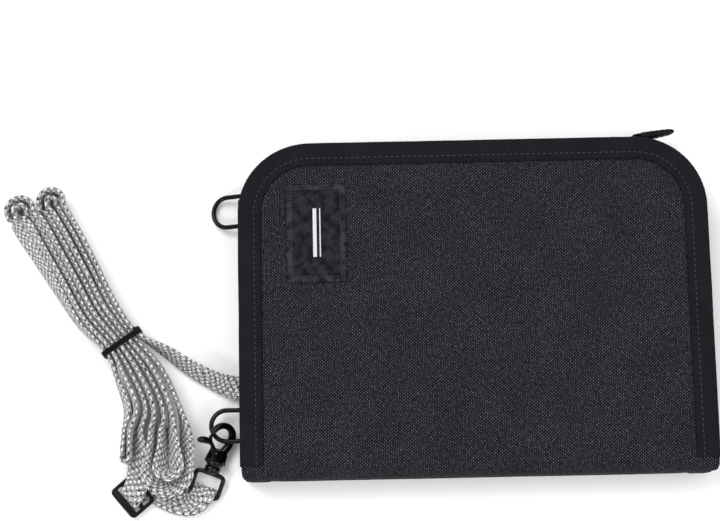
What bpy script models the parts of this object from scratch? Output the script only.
"""Zip-around neck pouch wallet: clamshell body, zipper, D-rings, trigger hook and wound neck strap.

The wallet lies on its back. X runs along the fold, Y from the fold to the zipped edge, Z up.
The origin is the centre of the back panel's outer face. Blender units are metres.
"""

import math

import bmesh
import bpy
from mathutils import Matrix, Vector

MM = 0.001
GAP = 0.3 * MM

# Driving dimensions of the wallet body.
LENGTH = 183.0 * MM
HEIGHT = 131.0 * MM
THICKNESS = 20.0 * MM
CORNER_RADIUS = 28.0 * MM
SPINE_RADIUS = 5.0 * MM
CORNER_STEPS = 7

LEFT = -LENGTH / 2
RIGHT = LENGTH / 2
FOLD_Y = -HEIGHT / 2
TOP_Y = HEIGHT / 2
PANEL_END_Y = FOLD_Y + SPINE_RADIUS + GAP

# Layers of one half, as heights above that half's outer face.
BINDING_WIDTH = 9.0 * MM
BINDING_INNER_WIDTH = 4.6 * MM
BINDING_THICKNESS = 0.7 * MM
BINDING_HEIGHT = 4.1 * MM
STEP_INSET = 10.0 * MM
LAYER_EDGE_INSET = 1.1 * MM
COVER_THICKNESS = 0.6 * MM
COVER_MARGIN_Z = 1.0 * MM
CORE_INSET = 10.6 * MM
FOAM_Z = 0.9 * MM
FOAM_THICKNESS = 0.8 * MM
SHIELD_Z = 2.0 * MM
SHIELD_THICKNESS = 0.4 * MM
LINING_Z = 2.7 * MM
LINING_THICKNESS = 0.5 * MM
LINING_MARGIN_Z = 1.8 * MM

# Zipper, measured from the wallet's outer edge and from each half's outer face.
TAPE_THICKNESS = 0.5 * MM
TAPE_FLANGE_Z = 2.85 * MM
TAPE_INSET = 5.2 * MM
TAPE_TOP_Z = 9.0 * MM
COIL_INSET = 4.05 * MM
COIL_THICKNESS = 1.1 * MM
COIL_LOW_Z = 7.6 * MM
COIL_TOP_Z = 9.5 * MM

# Slider and pull.
SLIDER_X = 57.0 * MM
SLIDER_LENGTH = 9.0 * MM
SLIDER_HEIGHT = 5.4 * MM
SLIDER_OUTER_INSET = 2.3 * MM
SLIDER_INNER_INSET = 6.3 * MM
PLATE_THICKNESS = 1.0 * MM
WEB_THICKNESS = 0.5 * MM
PULL_ANGLE = math.radians(9.0)

# D-rings and their tabs.
RING_WIRE_RADIUS = 0.8 * MM
RING_RADIUS = 6.0 * MM
RING_LEG = 7.0 * MM
RING_BAR_X = LEFT + 1.3 * MM
RING_BAR_Z = 6.9 * MM
UPPER_RING_Y = 41.5 * MM
LOWER_RING_Y = -43.5 * MM
UPPER_RING_DROOP = math.radians(24.0)
TAB_WIDTH = 8.6 * MM
TAB_LAYER = 0.8 * MM
TAB_TAIL_Z = 4.8 * MM
TAB_TAIL_END_X = LEFT + 4.5 * MM

# Trigger hook: its long axis, the point where the ring's wire crosses it, and its roll about that axis.
HOOK_AXIS = Vector((0.36, 0.93, 0.18)).normalized()
HOOK_ROLL = math.radians(42.0)
HOOK_CENTRE = Vector((-99.6, -48.9, 6.9)) * MM
HOOK_THICKNESS = 2.6 * MM
BOW_RADIUS = 4.9 * MM
STEM_X = -0.9 * MM
EYE_WIRE_RADIUS = 0.9 * MM

# Neck strap and what is on it.
STRAP_WIDTH = 9.0 * MM
STRAP_THICKNESS = 1.4 * MM
THREADED_THICKNESS = 0.8 * MM
HANK_LOW_Z = 2.2 * MM
HANK_HEIGHT = 9.0 * MM
TIE_CENTRE = Vector((-138.2, -10.3, 6.7)) * MM
TIE_ANGLE = math.radians(34.4)
TIE_WIRE_RADIUS = 0.8 * MM
TRIGLIDE_CENTRE = Vector((-134.2, -69.6, 2.8)) * MM
TRIGLIDE_ANGLE = math.radians(40.0)
TRIGLIDE_THICKNESS = 1.8 * MM

# Colours.
BLACK_FABRIC = (0.012, 0.012, 0.014, 1.0)
BLACK_TAPE = (0.016, 0.016, 0.018, 1.0)
BLACK_LINING = (0.02, 0.02, 0.024, 1.0)
FOAM_GREY = (0.2, 0.2, 0.21, 1.0)
SHIELD_SILVER = (0.5, 0.5, 0.52, 1.0)
BLACK_PLASTIC = (0.014, 0.014, 0.015, 1.0)
GUNMETAL = (0.08, 0.08, 0.085, 1.0)
STRAP_GREY = (0.36, 0.36, 0.35, 1.0)


# ---------------------------------------------------------------------------
# Scene, materials and small helpers


def clear_scene():
    for obj in list(bpy.data.objects):
        bpy.data.objects.remove(obj, do_unlink=True)


def new_collection(name):
    collection = bpy.data.collections.new(name)
    bpy.context.scene.collection.children.link(collection)
    return collection


def new_material(name, colour, roughness, metallic=0.0):
    material = bpy.data.materials.new(name)
    material.use_nodes = True
    shader = material.node_tree.nodes["Principled BSDF"]
    shader.inputs["Base Color"].default_value = colour
    shader.inputs["Roughness"].default_value = roughness
    shader.inputs["Metallic"].default_value = metallic
    return material


def link_object(name, data, collection, material=None):
    obj = bpy.data.objects.new(name, data)
    collection.objects.link(obj)
    if material:
        data.materials.append(material)
    return obj


def mesh_object(name, verts, faces, collection, material=None):
    mesh = bpy.data.meshes.new(name)
    mesh.from_pydata([tuple(v) for v in verts], [], faces)
    mesh.update()
    return link_object(name, mesh, collection, material)


def smooth(obj, angle_degrees=40.0):
    obj.data.shade_smooth()
    obj.data.set_sharp_from_angle(angle=math.radians(angle_degrees))


def add_solidify(obj, thickness, offset=0.0):
    modifier = obj.modifiers.new("thickness", "SOLIDIFY")
    modifier.thickness = thickness
    modifier.offset = offset
    modifier.use_even_offset = True
    return modifier


def add_bevel(obj, width, segments=1, angle_degrees=40.0):
    modifier = obj.modifiers.new("edges", "BEVEL")
    modifier.width = width
    modifier.segments = segments
    modifier.limit_method = "ANGLE"
    modifier.angle_limit = math.radians(angle_degrees)
    return modifier


def box(name, low, high, collection, material=None, bevel=0.0):
    mesh = bpy.data.meshes.new(name)
    shape = bmesh.new()
    bmesh.ops.create_cube(shape, size=1.0)
    size = Vector(high) - Vector(low)
    centre = (Vector(high) + Vector(low)) / 2
    bmesh.ops.scale(shape, vec=size, verts=shape.verts)
    bmesh.ops.translate(shape, vec=centre, verts=shape.verts)
    shape.to_mesh(mesh)
    shape.free()
    obj = link_object(name, mesh, collection, material)
    if bevel:
        add_bevel(obj, bevel, 2)
    return obj


def cylinder(name, radius, length, collection, material=None, segments=20):
    mesh = bpy.data.meshes.new(name)
    shape = bmesh.new()
    bmesh.ops.create_cone(
        shape, cap_ends=True, segments=segments, radius1=radius, radius2=radius, depth=length
    )
    shape.to_mesh(mesh)
    shape.free()
    obj = link_object(name, mesh, collection, material)
    smooth(obj)
    return obj


def flat_piece(name, outline, low_z, high_z, collection, material=None):
    curve = bpy.data.curves.new(name, "CURVE")
    curve.dimensions = "2D"
    curve.fill_mode = "BOTH"
    curve.extrude = (high_z - low_z) / 2
    spline = curve.splines.new("POLY")
    spline.points.add(len(outline) - 1)
    for point, place in zip(spline.points, outline):
        point.co = (place[0], place[1], 0.0, 1.0)
    spline.use_cyclic_u = True
    obj = link_object(name, curve, collection, material)
    obj.location.z = (high_z + low_z) / 2
    return obj


def wire(name, points, radius, collection, material=None, closed=False, resolution=2):
    curve = bpy.data.curves.new(name, "CURVE")
    curve.dimensions = "3D"
    curve.bevel_depth = radius
    curve.bevel_resolution = resolution
    curve.use_fill_caps = not closed
    spline = curve.splines.new("POLY")
    spline.points.add(len(points) - 1)
    for point, place in zip(spline.points, points):
        point.co = (place[0], place[1], place[2], 1.0)
    spline.use_cyclic_u = closed
    spline.use_smooth = True
    return link_object(name, curve, collection, material)


def as_mesh(obj, collection):
    """Replace a curve object, or one with modifiers, by its closed evaluated mesh."""
    depsgraph = bpy.context.evaluated_depsgraph_get()
    mesh = bpy.data.meshes.new_from_object(obj.evaluated_get(depsgraph))
    name = obj.name
    matrix = obj.matrix_world.copy()
    bpy.data.objects.remove(obj, do_unlink=True)
    shape = bmesh.new()
    shape.from_mesh(mesh)
    bmesh.ops.remove_doubles(shape, verts=shape.verts, dist=0.00001)
    bmesh.ops.recalc_face_normals(shape, faces=shape.faces)
    shape.to_mesh(mesh)
    shape.free()
    result = link_object(name, mesh, collection)
    result.matrix_world = matrix
    return result


def combine(obj, other, operation):
    """Cut obj by other, or join other onto it; other stays as a hidden helper."""
    other.hide_render = True
    other.display_type = "WIRE"
    modifier = obj.modifiers.new(operation.lower(), "BOOLEAN")
    modifier.operation = operation
    modifier.solver = "EXACT"
    modifier.object = other


def smooth_curve(points, steps, closed=False):
    """Points on a Catmull-Rom curve through the given ones."""
    points = [Vector(p) for p in points]
    count = len(points)
    spans = count if closed else count - 1
    result = []
    for index in range(spans):
        if closed:
            before, start, end, after = (points[(index + k) % count] for k in (-1, 0, 1, 2))
        else:
            before = points[max(index - 1, 0)]
            start = points[index]
            end = points[index + 1]
            after = points[min(index + 2, count - 1)]
        for step in range(steps):
            t = step / steps
            result.append(
                0.5
                * (
                    2 * start
                    + (end - before) * t
                    + (2 * before - 5 * start + 4 * end - after) * t * t
                    + (3 * start - before - 3 * end + after) * t * t * t
                )
            )
    if not closed:
        result.append(points[-1])
    return result


def in_mm(points):
    return [Vector(point) * MM for point in points]


# ---------------------------------------------------------------------------
# Wallet outline


def edge_path(inset, end_y=PANEL_END_Y):
    """The three bound sides, from the fold up the left side, across the top and down the right."""
    radius = CORNER_RADIUS - inset
    corner_y = TOP_Y - CORNER_RADIUS
    points = [(LEFT + inset, end_y)]
    for centre_x, first_angle in ((LEFT + CORNER_RADIUS, math.pi), (RIGHT - CORNER_RADIUS, math.pi / 2)):
        for step in range(CORNER_STEPS + 1):
            angle = first_angle - step * math.pi / 2 / CORNER_STEPS
            points.append((centre_x + radius * math.cos(angle), corner_y + radius * math.sin(angle)))
    points.append((RIGHT - inset, end_y))
    return points


def mirror_height(z, front):
    return THICKNESS - z if front else z


def edge_band(name, profile, thickness, front, collection, material):
    """An open sheet whose section, given as inset and height, follows the three bound sides."""
    verts = []
    columns = len(profile)
    for inset, height in profile:
        for x, y in edge_path(inset):
            verts.append((x, y, mirror_height(height, front)))
    rows = len(verts) // columns
    faces = []
    for column in range(columns - 1):
        for row in range(rows - 1):
            a = column * rows + row
            b = a + rows
            faces.append((a, a + 1, b + 1, b) if front else (a, b, b + 1, a + 1))
    obj = mesh_object(name, verts, faces, collection, material)
    add_solidify(obj, thickness)
    return obj


def stepped_sheet(name, field_z, margin_z, thickness, front, collection, material):
    """A panel sheet whose margin steps inwards so that the binding lies flush with the field."""
    middle = thickness / 2
    sections = (
        (LAYER_EDGE_INSET, margin_z + middle),
        (STEP_INSET - 0.9 * MM, margin_z + middle),
        (STEP_INSET, field_z + middle),
    )
    verts = []
    for inset, height in sections:
        for x, y in edge_path(inset):
            verts.append((x, y, mirror_height(height, front)))
    rows = len(verts) // len(sections)
    faces = []
    for section in range(len(sections) - 1):
        for row in range(rows - 1):
            a = section * rows + row
            b = a + rows
            faces.append((a, b, b + 1, a + 1))
    first = (len(sections) - 1) * rows
    faces.append(tuple(range(first + rows - 1, first - 1, -1)))
    obj = mesh_object(name, verts, faces, collection, material)
    add_solidify(obj, thickness)
    return obj


def half_plate(name, inset, low, high, front, collection, material):
    levels = sorted((mirror_height(low, front), mirror_height(high, front)))
    return flat_piece(name, edge_path(inset), levels[0], levels[1], collection, material)


# ---------------------------------------------------------------------------
# Wallet halves


def make_half(side, front, collection, materials):
    stepped_sheet(
        side + "_cover", 0.0, COVER_MARGIN_Z, COVER_THICKNESS, front, collection, materials["shell"]
    )
    half_plate(
        side + "_foam", CORE_INSET, FOAM_Z, FOAM_Z + FOAM_THICKNESS, front, collection, materials["foam"]
    )
    half_plate(
        side + "_rfid_layer",
        CORE_INSET,
        SHIELD_Z,
        SHIELD_Z + SHIELD_THICKNESS,
        front,
        collection,
        materials["shield"],
    )
    stepped_sheet(
        side + "_lining",
        LINING_Z,
        LINING_MARGIN_Z,
        LINING_THICKNESS,
        front,
        collection,
        materials["lining"],
    )
    make_binding(side, front, collection, materials["binding"])
    make_zip_tape(side, front, collection, materials["zip_tape"])
    make_zip_coil(side, front, collection, materials["coil"])


def make_binding(side, front, collection, material):
    middle = BINDING_THICKNESS / 2
    profile = (
        (BINDING_WIDTH, middle),
        (middle, middle),
        (middle, BINDING_HEIGHT - middle),
        (BINDING_INNER_WIDTH, BINDING_HEIGHT - middle),
    )
    edge_band(side + "_binding", profile, BINDING_THICKNESS, front, collection, material)


def make_zip_tape(side, front, collection, material):
    profile = (
        (LAYER_EDGE_INSET, TAPE_FLANGE_Z),
        (TAPE_INSET, TAPE_FLANGE_Z),
        (TAPE_INSET, TAPE_TOP_Z),
    )
    edge_band(side + "_zip_tape", profile, TAPE_THICKNESS, front, collection, material)


def make_zip_coil(side, front, collection, material):
    profile = ((COIL_INSET, COIL_LOW_Z), (COIL_INSET, COIL_TOP_Z))
    edge_band(side + "_zip_coil", profile, COIL_THICKNESS, front, collection, material)


def spine_section(inset):
    """The spine's section as Y and Z, from the back fold round to the front fold."""
    radius = SPINE_RADIUS - inset
    centre_y = FOLD_Y + SPINE_RADIUS
    points = []
    for centre_z, first_angle in (
        (SPINE_RADIUS, 1.5 * math.pi),
        (THICKNESS - SPINE_RADIUS, math.pi),
    ):
        for step in range(5):
            angle = first_angle - step * math.pi / 8
            points.append((centre_y + radius * math.cos(angle), centre_z + radius * math.sin(angle)))
    return points


def make_spine(name, inset, thickness, end_gap, collection, material):
    section = spine_section(inset + thickness / 2)
    verts = []
    for x in (LEFT + end_gap, RIGHT - end_gap):
        verts.extend((x, y, z) for y, z in section)
    count = len(section)
    faces = [(row, row + 1, count + row + 1, count + row) for row in range(count - 1)]
    obj = mesh_object(name, verts, faces, collection, material)
    add_solidify(obj, thickness)
    smooth(obj)
    return obj


def make_label(collection, materials):
    """A stitched patch near the upper left corner, with a woven insert that has a plain border."""
    left = LEFT + 18.8 * MM
    top = TOP_Y - 16.6 * MM
    width = 23.5 * MM
    height = 39.0 * MM
    base = THICKNESS + GAP
    patch = 0.5 * MM
    border = 3.2 * MM
    box(
        "label_patch",
        (left, top - height, base),
        (left + width, top, base + patch),
        collection,
        materials["label"],
    )
    insert_base = base + patch + GAP
    box(
        "label_insert",
        (left + border, top - height + border, insert_base),
        (left + width - border, top - border, insert_base + GAP),
        collection,
        materials["label"],
    )


# ---------------------------------------------------------------------------
# Pockets on the linings


def pocket_outline(left, right, top, radius, bottom=None):
    bottom = PANEL_END_Y + 3.0 * MM if bottom is None else bottom
    points = [(left, bottom), (right, bottom)]
    for centre_x, first_angle in ((right - radius, 0.0), (left + radius, math.pi / 2)):
        for step in range(4):
            angle = first_angle + step * math.pi / 6
            points.append(
                (centre_x + radius * math.cos(angle), top - radius + radius * math.sin(angle))
            )
    return points


def make_pockets(collection, materials):
    side = LENGTH / 2 - 12.0 * MM
    sheet = 0.5 * MM
    pitch = sheet + GAP
    corner = 3.0 * MM
    lining_top = LINING_Z + LINING_THICKNESS + GAP
    fabric = materials["lining"]

    outline = pocket_outline(-side, side, 30.0 * MM, corner)
    flat_piece("document_sleeve", outline, lining_top, lining_top + sheet, collection, fabric)
    outline = pocket_outline(-side, 18.0 * MM, 8.0 * MM, corner)
    flat_piece(
        "passport_pocket",
        outline,
        lining_top + pitch,
        lining_top + pitch + sheet,
        collection,
        fabric,
    )

    ceiling = THICKNESS - lining_top
    outline = pocket_outline(-side, side, 36.0 * MM, corner)
    flat_piece("note_pocket", outline, ceiling - sheet, ceiling, collection, fabric)
    slot_left = -side + 4.0 * MM
    slot_right = slot_left + 92.0 * MM
    for number in range(4):
        high = ceiling - (number + 1) * pitch
        outline = pocket_outline(slot_left, slot_right, (26.0 - 11.0 * number) * MM, corner)
        name = "card_slot_" + str(number + 1)
        flat_piece(name, outline, high - sheet, high, collection, fabric)


# ---------------------------------------------------------------------------
# Zipper furniture


def make_zip_stops(collection, material):
    """Crimped stops over the ends of the coil, just above the fold."""
    low_y = PANEL_END_Y - 0.05 * MM
    for name, x, low, high in (
        ("zip_bottom_stop", LEFT + 2.75 * MM, COIL_LOW_Z, COIL_TOP_Z),
        ("back_top_stop", RIGHT - 2.75 * MM, COIL_LOW_Z, COIL_TOP_Z),
        ("front_top_stop", RIGHT - 2.75 * MM, THICKNESS - COIL_TOP_Z, THICKNESS - COIL_LOW_Z),
    ):
        box(
            name,
            (x - 0.4 * MM, low_y, low),
            (x + 0.4 * MM, low_y + 3.0 * MM, high),
            collection,
            material,
            bevel=0.15 * MM,
        )


def make_slider(collection, material):
    """Two plates either side of the coils, joined by a thin web between the coils."""
    half = SLIDER_HEIGHT / 2
    middle_z = THICKNESS / 2
    plates = []
    for name, inset in (
        ("slider_body", SLIDER_OUTER_INSET),
        ("slider_inner_plate", SLIDER_INNER_INSET),
    ):
        y = TOP_Y - inset
        plates.append(
            box(
                name,
                (SLIDER_X - SLIDER_LENGTH / 2, y - PLATE_THICKNESS / 2, middle_z - half),
                (SLIDER_X + SLIDER_LENGTH / 2, y + PLATE_THICKNESS / 2, middle_z + half),
                collection,
                material if name == "slider_body" else None,
            )
        )
    web = box(
        "slider_web",
        (
            SLIDER_X - SLIDER_LENGTH / 2 + 0.6 * MM,
            TOP_Y - SLIDER_INNER_INSET - 0.2 * MM,
            middle_z - WEB_THICKNESS / 2,
        ),
        (
            SLIDER_X - SLIDER_LENGTH / 2 + 3.6 * MM,
            TOP_Y - SLIDER_OUTER_INSET + 0.2 * MM,
            middle_z + WEB_THICKNESS / 2,
        ),
        collection,
    )
    body, inner = plates
    combine(body, inner, "UNION")
    combine(body, web, "UNION")
    crown = make_slider_crown(collection)
    combine(body, crown, "UNION")
    return [inner, web, crown]


def make_slider_crown(collection):
    """The arched bridge that holds the pull; the pull's link passes under it."""
    y = TOP_Y - SLIDER_OUTER_INSET + PLATE_THICKNESS / 2 - 0.2 * MM
    z = THICKNESS / 2
    points = [
        (SLIDER_X - 3.4 * MM, y, z),
        (SLIDER_X - 3.0 * MM, y + 2.2 * MM, z),
        (SLIDER_X - 1.6 * MM, y + 3.5 * MM, z),
        (SLIDER_X + 1.6 * MM, y + 3.5 * MM, z),
        (SLIDER_X + 3.4 * MM, y + 2.4 * MM, z),
        (SLIDER_X + 3.9 * MM, y, z),
    ]
    curve = wire("slider_crown", smooth_curve(points, 3), 0.55 * MM, collection)
    return as_mesh(curve, collection)


def make_pull(collection, materials):
    """A wire link through the crown and a moulded grip, built along +X and turned outwards."""
    hinge = Vector((SLIDER_X + 1.4 * MM, TOP_Y + 0.25 * MM, THICKNESS / 2))
    turn = Matrix.Translation(hinge) @ Matrix.Rotation(PULL_ANGLE, 4, "Z")
    half = 2.1 * MM
    length = 7.4 * MM
    points = [
        (0.0, 0.0, -half),
        (0.0, 0.0, half),
        (0.9 * MM, 0.0, half + 0.5 * MM),
        (length, 0.0, half * 0.75),
        (length + 0.8 * MM, 0.0, 0.0),
        (length, 0.0, -half * 0.75),
        (0.9 * MM, 0.0, -half - 0.5 * MM),
    ]
    link = wire("pull_link", points, 0.5 * MM, collection, materials["gunmetal"], closed=True)
    link.matrix_world = turn
    grip, hole = make_pull_grip(length, collection, materials["plastic"])
    grip.matrix_world = turn
    hole.matrix_world = turn
    return [hole]


def make_pull_grip(link_length, collection, material):
    """A tapered grip whose narrow neck has a hole for the far end of the link."""
    start = link_length - 2.0 * MM
    sections = (
        (start, 0.8, 1.1),
        (start + 3.9 * MM, 0.8, 1.4),
        (start + 5.4 * MM, 2.9, 1.9),
        (start + 10.0 * MM, 3.2, 1.7),
        (start + 16.4 * MM, 2.7, 1.2),
        (start + 18.0 * MM, 1.8, 0.7),
    )
    sides = 8
    verts = []
    for x, half_width, half_thickness in sections:
        for step in range(sides):
            angle = (step + 0.5) * 2 * math.pi / sides
            y = half_thickness * MM * max(-1.0, min(1.0, 1.3 * math.sin(angle)))
            z = half_width * MM * max(-1.0, min(1.0, 1.3 * math.cos(angle)))
            verts.append((x, y, z))
    faces = [tuple(range(sides - 1, -1, -1))]
    for section in range(len(sections) - 1):
        for step in range(sides):
            a = section * sides + step
            b = section * sides + (step + 1) % sides
            faces.append((a, b, b + sides, a + sides))
    faces.append(tuple(range(len(verts) - sides, len(verts))))
    grip = mesh_object("pull_grip", verts, faces, collection, material)
    hole = box(
        "pull_grip_hole",
        (start + 1.5 * MM, -0.8 * MM, -3.0 * MM),
        (start + 3.65 * MM, 0.8 * MM, 3.0 * MM),
        collection,
    )
    combine(grip, hole, "DIFFERENCE")
    return grip, hole


# ---------------------------------------------------------------------------
# D-rings and tabs


def ring_points():
    """A D outline in its own plane: the bar on Y at x = 0, the bow towards -X."""
    points = [(0.0, -RING_RADIUS, 0.0), (0.0, RING_RADIUS, 0.0)]
    for step in range(13):
        angle = math.pi / 2 + step * math.pi / 12
        points.append((-RING_LEG + RING_RADIUS * math.cos(angle), RING_RADIUS * math.sin(angle), 0.0))
    return points


def make_ring(name, y, droop, collection, material):
    ring = wire(name, ring_points(), RING_WIRE_RADIUS, collection, material, closed=True)
    ring.matrix_world = Matrix.Translation((RING_BAR_X, y, RING_BAR_Z)) @ Matrix.Rotation(-droop, 4, "Y")
    return ring


def make_tab(name, y, collection, material):
    """A folded webbing tab: a loop round the ring's bar and a tail sewn onto the back binding."""
    radius = RING_WIRE_RADIUS + GAP + TAB_LAYER / 2
    start_z = TAB_TAIL_Z - RING_BAR_Z
    points = [(TAB_TAIL_END_X - RING_BAR_X, start_z)]
    first = math.asin(start_z / math.hypot(radius, start_z)) if abs(start_z) < radius else -math.pi / 2
    for step in range(11):
        angle = first - step * math.radians(29.0)
        points.append((radius * math.cos(angle), radius * math.sin(angle)))
    verts = []
    for offset in (-TAB_WIDTH / 2, TAB_WIDTH / 2):
        verts.extend((RING_BAR_X + x, y + offset, RING_BAR_Z + z) for x, z in points)
    count = len(points)
    faces = [(row, row + 1, count + row + 1, count + row) for row in range(count - 1)]
    obj = mesh_object(name, verts, faces, collection, material)
    add_solidify(obj, TAB_LAYER)
    return obj


# ---------------------------------------------------------------------------
# Trigger hook


def hook_matrix():
    """Local X is across the hook, local Y along it towards its bow, local Z out of its plane."""
    along = HOOK_AXIS
    level = Vector((-along.y, along.x, 0.0)).normalized()
    upright = level.cross(along).normalized()
    if upright.z < 0.0:
        upright = -upright
    across = level * math.cos(HOOK_ROLL) + upright * math.sin(HOOK_ROLL)
    normal = across.cross(along)
    rotation = Matrix((across, along, normal)).transposed().to_4x4()
    return Matrix.Translation(HOOK_CENTRE) @ rotation


def ribbon_outline(stations):
    """A closed outline about a centre line, from points with a half width each."""
    left = []
    right = []
    for index, (x, y, half) in enumerate(stations):
        before = stations[max(index - 1, 0)]
        after = stations[min(index + 1, len(stations) - 1)]
        direction = Vector((after[0] - before[0], after[1] - before[1])).normalized()
        left.append((x - direction.y * half, y + direction.x * half))
        right.append((x + direction.y * half, y - direction.x * half))
    return left + right[::-1]


def bow_stations():
    """The hook's bow in its own plane: up the closed side, over the top and down to the nose."""
    stations = [
        (STEM_X, -8.6 * MM, 3.0 * MM),
        (STEM_X - 0.4 * MM, -6.6 * MM, 3.1 * MM),
        (STEM_X - 1.8 * MM, -4.4 * MM, 2.2 * MM),
        (-BOW_RADIUS + 0.3 * MM, -2.2 * MM, 1.45 * MM),
    ]
    for step in range(9):
        angle = math.pi - step * math.radians(20.0)
        half = (1.35 - 0.045 * step) * MM
        stations.append((BOW_RADIUS * math.cos(angle), 0.9 * MM + BOW_RADIUS * math.sin(angle), half))
    return stations


def make_hook(collection, materials):
    frame = hook_matrix()
    curve = flat_piece(
        "hook_body",
        ribbon_outline(bow_stations()),
        -HOOK_THICKNESS / 2,
        HOOK_THICKNESS / 2,
        collection,
    )
    curve.location.z = 0.0
    body = as_mesh(curve, collection)
    body.data.materials.append(materials["hook"])
    body.matrix_world = frame
    helpers = [
        box(
            "gate_slot",
            (STEM_X - 0.9 * MM, -7.0 * MM, -0.95 * MM),
            (4.5 * MM, -1.0 * MM, 0.95 * MM),
            collection,
        ),
        cylinder("pin_bore", 0.85 * MM, 4.0 * MM, collection, segments=12),
        cylinder("stem_bore", 1.2 * MM, 5.0 * MM, collection, segments=12),
    ]
    helpers[0].matrix_world = frame
    helpers[1].matrix_world = frame @ Matrix.Translation(gate_pivot())
    helpers[2].matrix_world = (
        frame @ Matrix.Translation((STEM_X, -9.6 * MM, 0.0)) @ Matrix.Rotation(math.pi / 2, 4, "X")
    )
    for helper in helpers:
        combine(body, helper, "DIFFERENCE")
    make_gate(frame, collection, materials)
    return helpers


def gate_pivot():
    return Vector((0.7, -5.2, 0.0)) * MM


def make_gate(frame, collection, materials):
    """The lever that closes the bow: a bar from the pin to the nose, with a thumb piece."""
    pivot = gate_pivot()
    stations = (
        (pivot.x, pivot.y - 1.2 * MM, 0.7 * MM),
        (pivot.x, pivot.y, 1.25 * MM),
        (pivot.x + 2.0 * MM, pivot.y + 2.2 * MM, 0.8 * MM),
        (pivot.x + 3.9 * MM, pivot.y + 4.2 * MM, 0.75 * MM),
        (pivot.x + 4.5 * MM, pivot.y + 6.2 * MM, 0.7 * MM),
    )
    gate = flat_piece("hook_gate", ribbon_outline(stations), -0.65 * MM, 0.65 * MM, collection)
    gate.location.z = 0.0
    gate = as_mesh(gate, collection)
    gate.data.materials.append(materials["hook"])
    gate.matrix_world = frame
    thumb_stations = (
        (pivot.x + 3.4 * MM, pivot.y + 3.0 * MM, 0.9 * MM),
        (pivot.x + 5.4 * MM, pivot.y + 3.9 * MM, 1.5 * MM),
        (pivot.x + 8.2 * MM, pivot.y + 3.6 * MM, 1.3 * MM),
        (pivot.x + 9.6 * MM, pivot.y + 3.2 * MM, 0.6 * MM),
    )
    thumb = flat_piece("gate_thumb", ribbon_outline(thumb_stations), -1.2 * MM, 1.2 * MM, collection)
    thumb.location.z = 0.0
    thumb = as_mesh(thumb, collection)
    thumb.matrix_world = frame
    combine(gate, thumb, "UNION")
    hole = cylinder("gate_bore", 0.85 * MM, 4.0 * MM, collection, segments=12)
    hole.matrix_world = frame @ Matrix.Translation(pivot)
    combine(gate, hole, "DIFFERENCE")
    pin = cylinder("gate_pin", 0.5 * MM, HOOK_THICKNESS + 0.4 * MM, collection, materials["hook"], 12)
    pin.matrix_world = frame @ Matrix.Translation(pivot)
    spring = wire("gate_spring", spring_points(), 0.13 * MM, collection, materials["gunmetal"])
    spring.matrix_world = frame


def spring_points():
    """A small coil beside the gate's heel, inside the slot of the hook body."""
    turns = 5
    steps = 8
    radius = 0.3 * MM
    low_y = -6.5 * MM
    pitch = 0.75 * MM
    points = []
    for step in range(turns * steps + 1):
        angle = step * 2 * math.pi / steps
        points.append(
            (
                STEM_X - 0.35 * MM + radius * math.cos(angle),
                low_y + pitch * step / steps,
                radius * math.sin(angle),
            )
        )
    return points


def make_swivel_eye(collection, material):
    """A wire eye for the webbing, with a stem that turns in the hook's bore."""
    frame = hook_matrix()
    half = 5.6 * MM
    near = -13.6 * MM
    far = -22.4 * MM
    points = [
        (0.0, near, 0.0),
        (half - 1.2 * MM, near - 0.3 * MM, 0.0),
        (half, near - 1.8 * MM, 0.0),
        (half, far + 1.0 * MM, 0.0),
        (half - 1.0 * MM, far, 0.0),
        (-half + 1.0 * MM, far, 0.0),
        (-half, far + 1.0 * MM, 0.0),
        (-half, near - 1.8 * MM, 0.0),
        (-half + 1.2 * MM, near - 0.3 * MM, 0.0),
    ]
    level = Matrix.Translation((STEM_X, 0.0, 0.0)) @ Matrix.Rotation(-HOOK_ROLL, 4, "Y")
    loop = as_mesh(wire("swivel_eye", points, EYE_WIRE_RADIUS, collection, closed=True), collection)
    loop.data.materials.append(material)
    loop.matrix_world = frame @ level
    stem = cylinder("swivel_stem", 0.85 * MM, 6.0 * MM, collection, segments=12)
    stem.matrix_world = (
        frame @ Matrix.Translation((STEM_X, -10.6 * MM, 0.0)) @ Matrix.Rotation(math.pi / 2, 4, "X")
    )
    collar = cylinder("swivel_collar", 2.6 * MM, 2.6 * MM, collection, segments=16)
    collar.matrix_world = (
        frame @ Matrix.Translation((STEM_X, -12.0 * MM, 0.0)) @ Matrix.Rotation(math.pi / 2, 4, "X")
    )
    combine(loop, collar, "UNION")
    combine(loop, stem, "UNION")
    return [stem, collar]


# ---------------------------------------------------------------------------
# Neck strap


def hank_outline():
    """The wound strap seen from above: two lobes at the top, a waist at the tie, one wide loop below."""
    return smooth_curve(
        in_mm(
            (
                (-185.5, 45.5, 0),
                (-180.5, 51.0, 0),
                (-175.0, 48.0, 0),
                (-171.0, 50.5, 0),
                (-166.0, 53.0, 0),
                (-162.0, 49.5, 0),
                (-154.5, 34.4, 0),
                (-147.3, 20.2, 0),
                (-139.6, 6.0, 0),
                (-131.4, -6.6, 0),
                (-122.6, -22.0, 0),
                (-116.0, -36.0, 0),
                (-113.6, -48.0, 0),
                (-113.8, -58.0, 0),
                (-118.0, -66.0, 0),
                (-123.6, -66.4, 0),
                (-127.2, -61.5, 0),
                (-131.0, -57.4, 0),
                (-136.0, -58.0, 0),
                (-139.6, -55.0, 0),
                (-138.4, -43.2, 0),
                (-139.4, -31.5, 0),
                (-141.8, -23.6, 0),
                (-145.2, -14.2, 0),
                (-151.5, -6.4, 0),
                (-165.0, 11.3, 0),
                (-179.0, 32.1, 0),
            )
        ),
        2,
        closed=True,
    )


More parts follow.
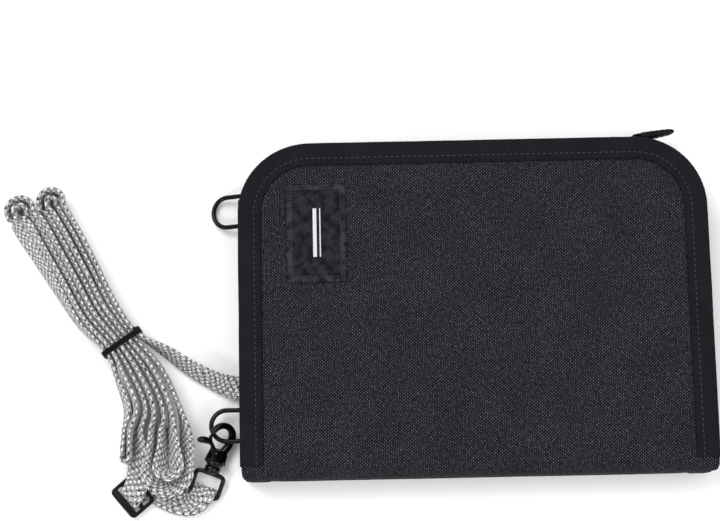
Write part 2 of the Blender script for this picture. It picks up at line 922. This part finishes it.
def ribbon(name, points, width, thickness, across, collection, material):
    """A flat band along points, its width along the given directions."""
    verts = []
    for sign in (-0.5, 0.5):
        verts.extend(point + side * (sign * width) for point, side in zip(points, across))
    count = len(points)
    faces = [(row, row + 1, count + row + 1, count + row) for row in range(count - 1)]
    obj = mesh_object(name, verts, faces, collection, material)
    add_solidify(obj, thickness)
    return obj


def level_sides(points):
    """Horizontal directions square to the path."""
    sides = []
    for index in range(len(points)):
        before = points[max(index - 1, 0)]
        after = points[min(index + 1, len(points) - 1)]
        along = (after - before).normalized()
        sides.append(Vector((along.y, -along.x, 0.0)).normalized())
    return sides


def flat_band(name, route, thickness, collection, material):
    points = smooth_curve(in_mm(route), 3)
    return ribbon(name, points, STRAP_WIDTH, thickness, level_sides(points), collection, material)


def make_strap_anchor(collection, material):
    """The folded fabric pad under the strap's sewn end, on top of the back binding."""
    box(
        "strap_anchor",
        (LEFT + 0.3 * MM, -34.2 * MM, 4.4 * MM),
        (TAB_TAIL_END_X, -23.8 * MM, 5.0 * MM),
        collection,
        material,
    )


def make_tie(collection, material):
    """A cord loop standing round the waist of the hank."""
    half = 10.5 * MM
    height = 5.75 * MM
    radius = 1.6 * MM
    points = []
    for centre_s, centre_z, first_angle in (
        (half - radius, height - radius, 0.0),
        (-half + radius, height - radius, math.pi / 2),
        (-half + radius, -height + radius, math.pi),
        (half - radius, -height + radius, 1.5 * math.pi),
    ):
        for step in range(4):
            angle = first_angle + step * math.pi / 6
            s = centre_s + radius * math.cos(angle)
            z = centre_z + radius * math.sin(angle)
            points.append(
                TIE_CENTRE + Vector((s * math.cos(TIE_ANGLE), s * math.sin(TIE_ANGLE), z))
            )
    return wire("strap_tie", points, TIE_WIRE_RADIUS, collection, material, closed=True)


def triglide_matrix():
    """Local X runs along the strap, towards the wallet; local Y across it."""
    return Matrix.Translation(TRIGLIDE_CENTRE) @ Matrix.Rotation(TRIGLIDE_ANGLE, 4, "Z")


def make_triglide(collection, material):
    """A flat frame with a broad end, two slots and a centre bar."""
    half_length = 5.9 * MM
    half_width = 7.4 * MM
    half_thickness = TRIGLIDE_THICKNESS / 2
    body = box(
        "triglide",
        (-half_length, -half_width, -half_thickness),
        (half_length, half_width, half_thickness),
        collection,
        material,
    )
    body.matrix_world = triglide_matrix()
    slots = []
    for name, x, half in (
        ("triglide_slot_a", -2.05 * MM, 0.95 * MM),
        ("triglide_slot_b", 2.6 * MM, 1.5 * MM),
    ):
        slot = box(
            name,
            (x - half, -5.2 * MM, -3.0 * MM),
            (x + half, 5.2 * MM, 3.0 * MM),
            collection,
        )
        slot.matrix_world = triglide_matrix()
        combine(body, slot, "DIFFERENCE")
        slots.append(slot)
    return slots


def make_adjuster_band(collection, material):
    """The webbing threaded through the tri-glide: over the frame and round the centre bar."""
    section = smooth_curve(
        in_mm(
            (
                (9.6, 0.0, 2.6),
                (7.6, 0.0, 1.9),
                (5.0, 0.0, 1.75),
                (3.9, 0.0, 1.4),
                (1.3, 0.0, -1.4),
                (0.3, 0.0, -1.75),
                (-1.0, 0.0, -1.75),
                (-2.2, 0.0, -0.9),
                (-2.2, 0.0, 0.9),
                (-1.0, 0.0, 1.75),
                (0.6, 0.0, 1.75),
            )
        ),
        2,
    )
    frame = triglide_matrix()
    points = [frame @ point for point in section]
    across = [Vector((-math.sin(TRIGLIDE_ANGLE), math.cos(TRIGLIDE_ANGLE), 0.0))] * len(points)
    ribbon("strap_adjuster_band", points, STRAP_WIDTH, THREADED_THICKNESS, across, collection, material)


def make_strap(collection, materials):
    strap = materials["strap"]
    flat_piece("strap_hank", hank_outline(), HANK_LOW_Z, HANK_LOW_Z + HANK_HEIGHT, collection, strap)
    tail_route = (
        (-87.4, -29.0, 6.2),
        (-95.5, -28.0, 6.0),
        (-104.0, -24.6, 3.4),
        (-113.0, -19.0, 2.4),
        (-118.6, -14.8, 3.4),
        (-122.4, -11.8, 5.0),
    )
    flat_band("strap_tail", tail_route, STRAP_THICKNESS, collection, strap)
    end_route = (
        (-125.2, -69.4, 1.1),
        (-121.6, -71.8, 1.1),
        (-117.4, -73.6, 1.1),
        (-113.6, -73.8, 1.1),
        (-110.9, -73.0, 1.1),
    )
    flat_band("strap_end_band", end_route, STRAP_THICKNESS, collection, strap)
    make_adjuster_band(collection, strap)
    make_strap_anchor(collection, materials["binding"])
    make_tie(collection, materials["tie"])
    return make_triglide(collection, materials["plastic"])


# ---------------------------------------------------------------------------
# Assembly


def make_materials():
    return {
        "shell": new_material("shell_fabric", BLACK_FABRIC, 0.85),
        "binding": new_material("binding_tape", BLACK_TAPE, 0.75),
        "lining": new_material("lining_fabric", BLACK_LINING, 0.8),
        "foam": new_material("foam", FOAM_GREY, 0.95),
        "shield": new_material("rfid_shield", SHIELD_SILVER, 0.4, 0.8),
        "zip_tape": new_material("zip_tape", BLACK_TAPE, 0.8),
        "coil": new_material("zip_coil", BLACK_PLASTIC, 0.45),
        "label": new_material("label_satin", BLACK_FABRIC, 0.4),
        "plastic": new_material("black_plastic", BLACK_PLASTIC, 0.4),
        "gunmetal": new_material("gunmetal", GUNMETAL, 0.3, 0.9),
        "hook": new_material("hook_enamel", BLACK_PLASTIC, 0.22, 0.3),
        "strap": new_material("strap_webbing", STRAP_GREY, 0.8),
        "tie": new_material("tie_cord", BLACK_TAPE, 0.7),
    }


def main():
    clear_scene()
    wallet = new_collection("neck_pouch_wallet")
    cutters = new_collection("cutters")
    materials = make_materials()

    make_half("back", False, wallet, materials)
    make_half("front", True, wallet, materials)
    make_spine("spine_cover", 0.0, 0.8 * MM, 0.0, wallet, materials["shell"])
    make_spine("spine_lining", 1.1 * MM, 0.5 * MM, 2.0 * MM, wallet, materials["lining"])
    make_label(wallet, materials)
    make_pockets(wallet, materials)
    make_zip_stops(wallet, materials["gunmetal"])
    helpers = make_slider(wallet, materials["gunmetal"])
    helpers += make_pull(wallet, materials)
    make_ring("upper_d_ring", UPPER_RING_Y, UPPER_RING_DROOP, wallet, materials["gunmetal"])
    make_ring("lower_d_ring", LOWER_RING_Y, 0.0, wallet, materials["gunmetal"])
    make_tab("upper_ring_tab", UPPER_RING_Y, wallet, materials["binding"])
    make_tab("lower_ring_tab", LOWER_RING_Y, wallet, materials["binding"])
    helpers += make_hook(wallet, materials)
    helpers += make_swivel_eye(wallet, materials["hook"])
    helpers += make_strap(wallet, materials)
    for helper in helpers:
        wallet.objects.unlink(helper)
        cutters.objects.link(helper)


main()
